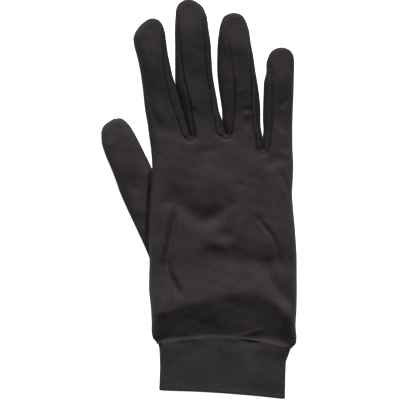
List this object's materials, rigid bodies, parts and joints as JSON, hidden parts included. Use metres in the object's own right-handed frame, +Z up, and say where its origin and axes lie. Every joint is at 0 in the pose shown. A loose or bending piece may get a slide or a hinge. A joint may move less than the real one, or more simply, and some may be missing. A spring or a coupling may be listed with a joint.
{
  "type": "glove liner",
  "caption": "Thin plain knitted glove liner for a right hand, lying flat on its palm, with fourchettes between the fingers and a ribbed cuff.",
  "frame": {"origin": "middle of the glove's box, on the surface that it lies on", "axes": "+Z up out of the back of the hand, +Y from the cuff to the fingertips, +X from the thumb to the little finger"},
  "size_m": [0.1228, 0.2506, 0.0151],
  "materials": {
    "hand_knit": "fine plain knit, charcoal black, soft sheen",
    "side_knit": "fine plain knit, charcoal black, soft sheen",
    "cuff_knit": "fine rib knit, charcoal, matt"
  },
  "bodies": {
    "root": {"back_panel": "hand_knit", "palm_panel": "hand_knit", "fourchette_index_middle": "side_knit", "fourchette_middle_ring": "side_knit", "fourchette_ring_little": "side_knit", "thumb": "hand_knit", "cuff": "cuff_knit"}
  },
  "joints": []
}
